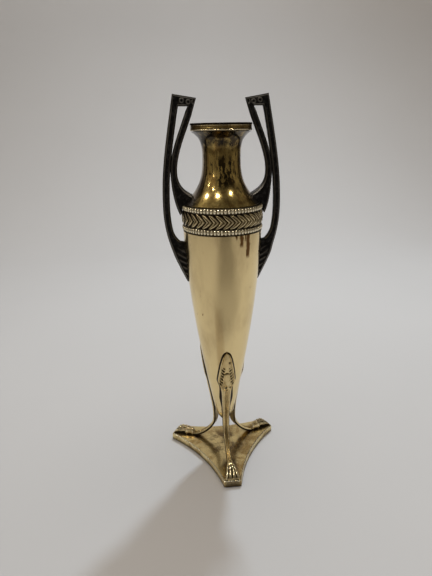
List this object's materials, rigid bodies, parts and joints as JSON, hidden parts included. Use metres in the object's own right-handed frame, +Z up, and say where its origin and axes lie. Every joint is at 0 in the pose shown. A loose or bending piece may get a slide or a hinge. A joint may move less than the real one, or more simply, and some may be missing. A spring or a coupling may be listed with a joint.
{
  "type": "bud vase",
  "caption": "Slender brass amphora bud vase with barred handles and a leaf-and-bead band, held above a hollow-sided base by paw-footed legs.",
  "frame": {"origin": "on the vessel's axis, at the underside of the base plate", "axes": "+Z up along the vessel, -Y towards the front leg, +X and -X towards the handles"},
  "size_m": [0.0724, 0.063, 0.2296],
  "materials": {
    "polished_brass": "satin polished, pale",
    "golden_brass": "polished, deeper gold with brown tarnish",
    "antique_brass": "polished high spots, dark recesses",
    "leg_brass": "polished, dark lines in the recesses",
    "tarnished_brass": "polished but tarnished brown",
    "screw_brass": "dull",
    "black_bronze": "near-black patina on a bronze casting"
  },
  "bodies": {
    "root": {"base_plate": "tarnished_brass", "base_screw_front": "screw_brass", "base_screw_rear_left": "screw_brass", "base_screw_rear_right": "screw_brass", "bead_ring_lower": "antique_brass", "bead_ring_upper": "antique_brass", "body_shell": "polished_brass", "handle_left": "black_bronze", "handle_right": "black_bronze", "leaf_band": "antique_brass", "leg_front": "leg_brass", "leg_rear_left": "leg_brass", "leg_rear_right": "leg_brass", "mouth_ring": "golden_brass", "neck_shell": "golden_brass"}
  },
  "joints": []
}
